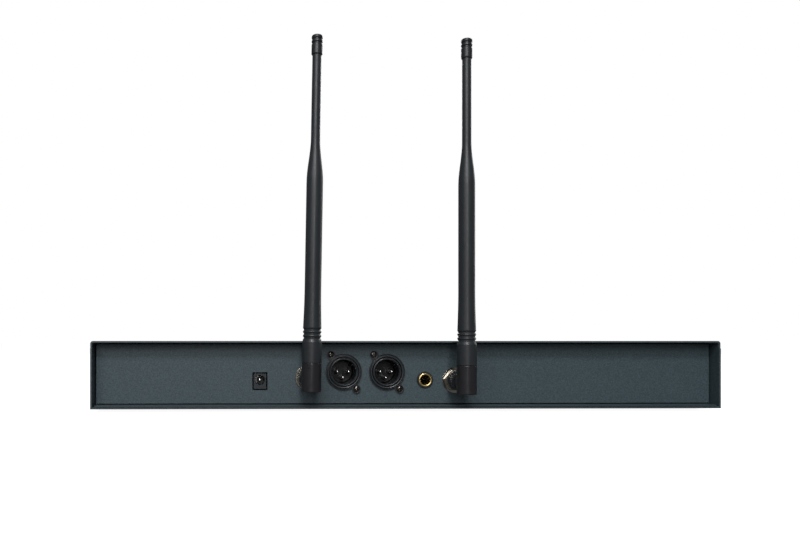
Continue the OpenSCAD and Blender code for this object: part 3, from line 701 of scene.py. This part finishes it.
def cross_bars(half, width, z0, z1):
    """The two tapered bars of a cross recess, apart because the exact solver handles that best."""
    bars = []
    for turn in (0, math.pi / 2):
        bm = bmesh.new()
        loops = []
        for z, k in ((z0, 0.35), (z1, 1.0)):
            x, y = half * k, width * (0.6 + 0.4 * k)
            loops.append([bm.verts.new((a * math.cos(turn) - b * math.sin(turn),
                                        a * math.sin(turn) + b * math.cos(turn), z))
                          for a, b in ((-x, -y), (x, -y), (x, y), (-x, y))])
        close_between(bm, *loops)
        bars.append(bm)
    return bars


def pan_screw(head_r, head_h, shank_r, shank):
    """A pan-head screw, head up from z = 0, with a cross recess; sizes in millimetres."""
    dome_steps = 8
    angles = [math.pi / 2 * i / dome_steps for i in range(dome_steps)]
    dome = [(head_r * math.cos(t), head_h * (0.35 + 0.65 * math.sin(t))) for t in angles]
    profile = [(0, -shank), (shank_r * 0.8, -shank), (shank_r, -shank + 0.4), (shank_r, 0),
               (head_r * 0.96, 0), (head_r, head_h * 0.12)] + dome + [(0, head_h)]
    cuts = cross_bars(head_r * 0.74 * MM, head_r * 0.22 * MM, -head_h * 0.1 * MM, (head_h + 0.2) * MM)
    return solid(spun(mm_points(profile), steps=64), cuts=cuts, bevel=0.05 * MM, angle=40, segments=2)


def flush_screw(head_r=2.8, shank_r=1.5, shank=5.0):
    """A countersunk screw with a cross recess, its head's face at z = 0; sizes in millimetres."""
    profile = [(0, -shank), (shank_r, -shank), (shank_r, -1.15), (head_r, -0.12),
               (head_r, -0.02), (head_r - 0.15, 0), (0, 0)]
    cuts = cross_bars(head_r * 0.6 * MM, head_r * 0.13 * MM, -1.0 * MM, 0.2 * MM)
    return solid(spun(mm_points(profile), steps=64), cuts=cuts, bevel=0.04 * MM, angle=40, segments=2)


def make_output_screws():
    screw = pan_screw(1.95, 1.35, 1.45, 2.1)
    places = []
    for i, s in enumerate(SIDES):
        for k in (-1, 1):
            places.append(rear_axes(XLR[s].x, XLR[s].z)
                          @ shifted(-k * EAR[0], k * EAR[1], 0.15)
                          @ Matrix.Rotation(0.5 + 0.9 * i + 0.7 * k, 4, "Z"))
    piece("output_screws", placed(screw, places, "screws"), "xlr_screws", "case", sharp=30)


# ---------------------------------------------------------------- jack and power inlet

def make_jack():
    """Gold lining with a rounded mouth, the black body with its collar, and two springs."""
    at = rear_axes(JACK.x, JACK.z)
    lip = circle(3.95, 1.03, 0.7, 12, 0, math.pi)
    lining = spun(mm_points([(3.25, -10), (4.65, -10)] + lip + [(3.25, -10)]), at)
    piece("jack_lining", mesh_of(lining, "lining"), "jack_bushing", "case", sharp=30)
    collar = [(0, -2), (5.45, -2), (5.5, 0.7), (5.3, 0.98), (0, 0.98)]
    bore = [(0, -25), (4.1, -25), (4.1, -10.2), (4.7, -10.2), (4.7, 0.7), (4.85, 2), (0, 2)]
    mesh = solid(block(-7.5, 7.5, -6.8, 7.2, -26.9, -1.3), joins=[spun(turned(collar, 0.1))],
                 cuts=[spun(mm_points(bore))], bevel=0.1 * MM, segments=2)
    mesh.transform(at)
    piece("jack_housing", mesh, "jack_body", "case", sharp=30)
    spring = [(-3.9, -14), (-3.0, -8), (-3.15, -4.6), (-2.85, -4.4), (-2.6, -8), (-3.5, -14)]
    rest = [(3.55, -23), (3.95, -23), (3.95, -12), (3.55, -12)]
    blades = [mesh_of(bm, "blade", at) for bm in (strip(spring, 0.9), strip(rest, 1.0))]
    piece("jack_springs", joined(blades, "springs"), "jack_contacts", "case")


def strip(outline, half):
    """A bent metal strip: an outline in the x-z plane, given width along y; millimetres."""
    bm = bmesh.new()
    lower = [bm.verts.new((x * MM, -half * MM, z * MM)) for x, z in outline]
    upper = [bm.verts.new((x * MM, half * MM, z * MM)) for x, z in outline]
    close_between(bm, lower, upper)
    return bm


def make_inlet():
    """Square black body with a round mouth and a slot below, a centre pin and a side spring."""
    at = rear_axes(DC.x, DC.z)
    mouth = [(0, -11), (3.05, -11), (3.05, -0.35), (3.45, 0.1), (3.45, 1), (0, 1)]
    slot = block(-2.6, 2.6, -6.5, -4.4, -9, -1)
    mesh = solid(block(-4.25, 4.25, -6.0, 4.4, -13.9, 0.2),
                 cuts=[spun(mm_points(mouth), steps=72), slot], bevel=0.16 * MM)
    mesh.transform(at)
    piece("inlet_housing", mesh, "dc_jack_body", "case", sharp=30)
    pin = spun(turned([(0, -11), (1.0, -11), (1.0, -2.0), (0.75, -1.6), (0, -1.55)], 0.15), steps=40)
    arc = circle(0, 0, 2.98, 20, 1.9, 3.7) + circle(0, 0, 2.5, 20, 3.7, 1.9)
    contacts = [mesh_of(bm, "contact", at) for bm in (pin, prism(arc, -9, -1.1))]
    piece("inlet_contacts", joined(contacts, "contacts"), "dc_jack_contacts", "case")


# ---------------------------------------------------------------- front controls

def make_knob(side):
    """A knob with fine grips above a stepped foot, a dished top and a pointer line."""
    node = f"volume_knob_{side}"
    at = front_axes(middle(node).x, middle(node).z)
    r = (high(node)[0] - low(node)[0]) / 2 / MM
    top = (high(node)[1] - FRONT_Y) / MM
    grips, depth = 36, 0.4 * MM
    pts = [(0, 9.0), (3.02, 9.0), (3.02, 3.6), (6.6, 3.6), (6.6, 0.65), (r - 0.5, 0.65),
           (r - 0.1, 1.0), (r - 0.1, 1.9), (r - 0.35, 2.2), (r, 2.6), (r, top - 2.4),
           (r - 0.3, top - 1.6), (r - 0.3, top - 0.9), (r - 0.9, top - 0.3),
           (r - 1.6, top - 0.12), (r - 2.4, top - 0.35), (0, top - 0.5)]
    fluted = {i for i, (radius, z) in enumerate(pts) if radius == r}

    def ripple(k, a):
        return -depth * (0.5 + 0.5 * math.cos(grips * a)) ** 1.5 if k in fluted else 0.0

    bm = bmesh.new()
    lathe(bm, mm_points(pts), steps=288, ripple=ripple)
    piece(f"knob_{side}", mesh_of(bm, node, at), node, f"volume_{side}", sharp=35)
    stroke = fillet([(0, 3.2), (-0.45, 3.2), (-0.45, r - 2.3), (0.45, r - 2.3), (0.45, 3.2), (0, 3.2)], 0.2)
    mark = prism(stroke[:-1], top - 0.55, top - 0.28)
    line = bpy.data.objects.new(f"knob_mark_{side}", mesh_of(mark, "mark", at))
    line.data.materials.append(POINTER)
    bpy.context.scene.collection.objects.link(line)
    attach(line, f"volume_{side}")


def make_button(node, body):
    """A crowned key with a stepped rim, on its stem."""
    at = front_axes(middle(node).x, middle(node).z)
    lip = (high(node)[0] - low(node)[0]) / 2 / MM
    r = lip - 1.2
    out = (high(node)[1] - FRONT_Y) / MM
    back = (low(node)[1] - FRONT_Y) / MM
    pts = [(0, back), (1.75, back), (1.75, -5.4), (lip, -5.4), (lip, -4.4), (r, -4.4), (r, out - 0.5),
           (r - 0.12, out - 0.15), (r - 0.35, out), (r - 0.65, out - 0.03)]
    crown_r, crown_steps = r - 0.9, 6
    for i in range(crown_steps + 1):
        dip = 0.22 * (1 - (1 - i / crown_steps) ** 2)
        pts.append((crown_r - crown_r * i / crown_steps, out - 0.28 - dip))
    piece(f"key_{node}", mesh_of(spun(mm_points(pts)), node, at), node, body, sharp=35)


# ---------------------------------------------------------------- feet and screws

def make_feet():
    """Tapered feet, each with a recess for its own screw."""
    lo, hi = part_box("rubber_feet")
    r, height, recess, roof, hole = 8.0, (hi[2] - lo[2]) / MM, 3.4, 1.5, 1.6
    pts = [(recess, roof), (recess, 0.25), (3.65, 0), (r - 1.5, 0), (r - 0.95, 0.15), (r - 0.75, 0.5),
           (r - 0.05, height - 0.15), (r - 0.2, height), (hole, height), (hole, roof), (recess, roof)]
    foot = mesh_of(spun(mm_points(pts), steps=72), "foot")
    places = [Matrix.Translation((x, y, 0)) for x in (lo[0] + r * MM, hi[0] - r * MM)
              for y in (lo[1] + r * MM, hi[1] - r * MM)]
    piece("feet", placed(foot, places, "feet"), "rubber_feet", "case", sharp=32)
    screw = pan_screw(2.8, 1.0, 1.5, 4.5)
    down = [m @ shifted(0, 0, roof) @ Matrix.Rotation(math.pi, 4, "X") for m in places]
    piece("feet_screws", placed(screw, down, "feet_screws"), "foot_screws", "case", sharp=30)


def side_screw_places():
    """(y, z) of the three screws on each side."""
    lo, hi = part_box("cover_screws")
    head_r = 2.8 * MM
    return [(y, (lo[2] + hi[2]) / 2) for y in (lo[1] + head_r, (REAR_Y + FRONT_Y) / 2, hi[1] - head_r)]


def make_cover_screws():
    screw = flush_screw()
    places = []
    for s in (-1, 1):
        for i, (y, z) in enumerate(side_screw_places()):
            side = Matrix.Translation((s * CASE_HI.x, y, z)) @ Matrix.Rotation(s * math.pi / 2, 4, "Y")
            places.append(side @ Matrix.Rotation(0.4 + i * 0.8 + s, 4, "Z"))
    piece("side_screws", placed(screw, places, "side_screws"), "cover_screws", "case", sharp=30)


# ---------------------------------------------------------------- rear panel and cover

TABS = (-190, -125, 75, 190)  # the middles of the panel's tabs along x, in millimetres


def make_rear_panel():
    """Flat sheet with a cut-out for each connector, and the tabs that it is screwed down by."""
    x0, x1, z0, z1 = (v / MM for v in (PANEL_LO.x, PANEL_HI.x, PANEL_LO.z, PANEL_HI.z))
    tabs = [block(x - 7, x + 7, z0 + 0.01, z0 + SHEET, -12, -0.6) for x in TABS]
    cuts = [block(DC.x / MM - 5.1, DC.x / MM + 5.1, DC.z / MM - 6.8, DC.z / MM + 5.2, -5, 5)]
    cuts += [rod(SOCKET[s].x / MM, SOCKET[s].z / MM, 6.4, -5, 5) for s in SIDES]
    cuts.append(rod(JACK.x / MM, JACK.z / MM, 5.6, -5, 5))
    for s in SIDES:
        x, z = XLR[s].x / MM, XLR[s].z / MM
        cuts.append(rod(x, z, 11.2, -5, 5))
        cuts += [rod(x - k * EAR[0], z + k * EAR[1], 1.55, -5, 5, 32) for k in (-1, 1)]
    for x in TABS:
        hole = rod(x, 7.2, 1.55, z0 - 1, z0 + 3, 32)
        bmesh.ops.transform(hole, matrix=Matrix.Rotation(-math.pi / 2, 4, "X"), verts=hole.verts)
        cuts.append(hole)
    mesh = solid(block(x0, x1, z0, z1, -SHEET, 0), joins=tabs, cuts=cuts, bevel=0.18 * MM, segments=2)
    mesh.transform(rear_axes(0, 0))
    piece("connector_panel", mesh, "rear_panel", "case", sharp=30)


def make_cover():
    """Folded sheet: round long bends, cut back at the rear corners, with countersunk side holes."""
    half, top, foot, t, bend = CASE_HI.x / MM, CASE_HI.z / MM, CASE_LO.z / MM, SHEET, 1.8
    outer = circle(-half + bend, top - bend, bend, 10, math.pi, math.pi / 2)
    outer += circle(half - bend, top - bend, bend, 10, math.pi / 2, 0)
    inner = circle(half - bend, top - bend, bend - t, 10, 0, math.pi / 2)
    inner += circle(-half + bend, top - bend, bend - t, 10, math.pi / 2, math.pi)
    outline = [(-half, foot)] + outer + [(half, foot), (half - t, foot)] + inner + [(-half + t, foot)]
    front = (PANEL_Y - CASE_HI.y) / MM
    rear = (PANEL_Y - REAR_Y) / MM
    base = prism(outline, front, rear)
    cuts = [block(x0, x1, top - 5, top + 1, rear - 0.5, rear + 1)
            for x0, x1 in ((half - 5, half + 1), (-half - 1, -half + 5))]
    sink = mm_points([(0, -3), (1.55, -3), (1.55, -1.15), (2.9, 0), (2.9, 1), (0, 1)])
    lo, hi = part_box("rack_inserts")
    for s in (-1, 1):
        for y, z in side_screw_places():
            cuts.append(sideways(spun(sink, steps=48), s, y, z))
        for z in (lo[2] + 3.6 * MM, hi[2] - 3.6 * MM):
            cuts.append(sideways(rod(0, 0, 2.0, -3, 3), s, (lo[1] + hi[1]) / 2, z))
    mesh = solid(base, cuts=cuts, bevel=0.28 * MM, segments=2)
    mesh.transform(rear_axes(0, 0))
    piece("cover", mesh, "top_cover", "case", sharp=30)


def sideways(bm, s, y, z):
    """Moves a cutter on the z axis to the cover's left or right side, in the rear panel's axes."""
    place = rear_axes(0, 0).inverted() @ Matrix.Translation((s * CASE_HI.x, y, z)) \
        @ Matrix.Rotation(s * math.pi / 2, 4, "Y")
    bmesh.ops.transform(bm, matrix=place, verts=bm.verts)
    return bm


# ---------------------------------------------------------------- carried-over CAD nodes

# The width of each softened edge, in millimetres.
BEVELLED = {"base_tray": 0.25, "front_panel": 0.45,
            "display_window": 0.2, "display_module": 0.3, "main_board": 0.1, "front_board": 0.1,
            "rf_module_left": 0.3, "rf_module_right": 0.3}


def dress_cad_nodes():
    """Every CAD node gets its procedural material, and the sheet parts get softened edges."""
    for name, obj in NODES.items():
        obj.data.materials.clear()
        obj.data.materials.append(MATERIAL[SLOT_OF[name]])
        if name in BEVELLED:
            weld = obj.modifiers.new("weld", "WELD")
            weld.merge_threshold = 0.005 * MM
            bevel = obj.modifiers.new("soft_edges", "BEVEL")
            bevel.width = BEVELLED[name] * MM
            bevel.segments = 3
            bevel.limit_method = "ANGLE"
            bevel.angle_limit = math.radians(50)
            bevel.harden_normals = True


# ---------------------------------------------------------------- studio

def area_light(name, size, power, place, target):
    data = bpy.data.lights.new(name, "AREA")
    data.shape = "RECTANGLE"
    data.size, data.size_y = size
    data.energy = power
    obj = bpy.data.objects.new(name, data)
    obj.location = place
    obj.rotation_mode = "QUATERNION"
    obj.rotation_quaternion = (Vector(target) - Vector(place)).to_track_quat("-Z", "Y")
    bpy.context.scene.collection.objects.link(obj)


# Name, size, power, place and target of each light.
LIGHTS = (
    ("key", (1.2, 0.6), 7.5, (-0.75, -1.7, 0.85), (-0.05, REAR_Y, 0.03)),
    ("front_high", (0.4, 0.25), 7, (-0.12, -1.0, 1.0), (-0.05, REAR_Y, 0.03)),
    ("front_strip", (0.16, 1.2), 7, (-0.10, -1.9, 0.75), (-0.02, REAR_Y, 0.10)),
    ("overhead", (1.6, 0.8), 4, (0.0, -0.5, 1.6), (0, -0.05, 0.05)),
    ("right_rim", (0.35, 1.6), 6, (1.5, 0.9, 0.6), (0, REAR_Y, 0.12)),
    ("back_fill", (1.6, 0.9), 26, (0.5, 1.9, 1.2), (0, FRONT_Y, 0.03)),
)
WHITE = (1, 1, 1, 1)


def make_world():
    """White behind the object for the camera, and a faint even light for everything else."""
    world = bpy.data.worlds.new("studio")
    bpy.context.scene.world = world
    world.use_nodes = True
    tree = world.node_tree
    back = tree.nodes["Background"]
    back.inputs["Color"].default_value = WHITE
    back.inputs["Strength"].default_value = 0.13
    seen = tree.nodes.new("ShaderNodeBackground")
    seen.inputs["Color"].default_value = WHITE
    seen.inputs["Strength"].default_value = 1.0
    rays = tree.nodes.new("ShaderNodeLightPath")
    mix = tree.nodes.new("ShaderNodeMixShader")
    out = tree.nodes["World Output"]
    tree.links.new(rays.outputs["Is Camera Ray"], mix.inputs["Fac"])
    tree.links.new(back.outputs["Background"], mix.inputs[1])
    tree.links.new(seen.outputs["Background"], mix.inputs[2])
    tree.links.new(mix.outputs["Shader"], out.inputs["Surface"])


def make_floor():
    """A wide, near-white floor that gives the object no light and no reflection."""
    half = 6.0
    corners = ((-half, -half, 0), (half, -half, 0), (half, half, 0), (-half, half, 0))
    bm = bmesh.new()
    bm.faces.new([bm.verts.new(v) for v in corners])
    mesh = mesh_of(bm, "floor")
    mat = bpy.data.materials.new("floor_white")
    mat.use_nodes = True
    shader = mat.node_tree.nodes["Principled BSDF"]
    shader.inputs["Base Color"].default_value = (0.35, 0.35, 0.35, 1)
    shader.inputs["Roughness"].default_value = 0.9
    shader.inputs["Emission Color"].default_value = WHITE
    shader.inputs["Emission Strength"].default_value = 0.95
    mesh.materials.append(mat)
    floor = bpy.data.objects.new("floor", mesh)
    bpy.context.scene.collection.objects.link(floor)
    floor.visible_diffuse = False
    floor.visible_glossy = False


def make_camera():
    """Square to the rear rim, close in, left of the middle and level with the case's top."""
    data = bpy.data.cameras.new("camera")
    data.sensor_width = 36.0
    data.lens = 34.08
    data.shift_x = 0.1677
    data.shift_y = 0.0931
    data.clip_start = 0.01
    obj = bpy.data.objects.new("camera", data)
    obj.location = (-0.1049, REAR_Y - 0.5, CASE_HI.z)
    obj.rotation_euler = (math.pi / 2, 0, -math.radians(1.2))
    bpy.context.scene.collection.objects.link(obj)
    bpy.context.scene.camera = obj


# ---------------------------------------------------------------- build

dress_cad_nodes()
for side in SIDES:
    make_whip(side)
    make_tip(side)
    make_elbow(side)
    make_coupling(side)
    make_socket(side)
    make_shell(side)
    make_knob(side)
make_socket_nuts()
make_inserts()
make_pins()
make_output_screws()
make_jack()
make_inlet()
make_button("power_button", "power_key")
make_button("set_button_left", "set_key_left")
make_button("set_button_right", "set_key_right")
make_feet()
make_rear_panel()
make_cover()
make_cover_screws()
for light in LIGHTS:
    area_light(*light)
make_world()
make_floor()
make_camera()
bpy.context.scene.view_settings.view_transform = "Standard"
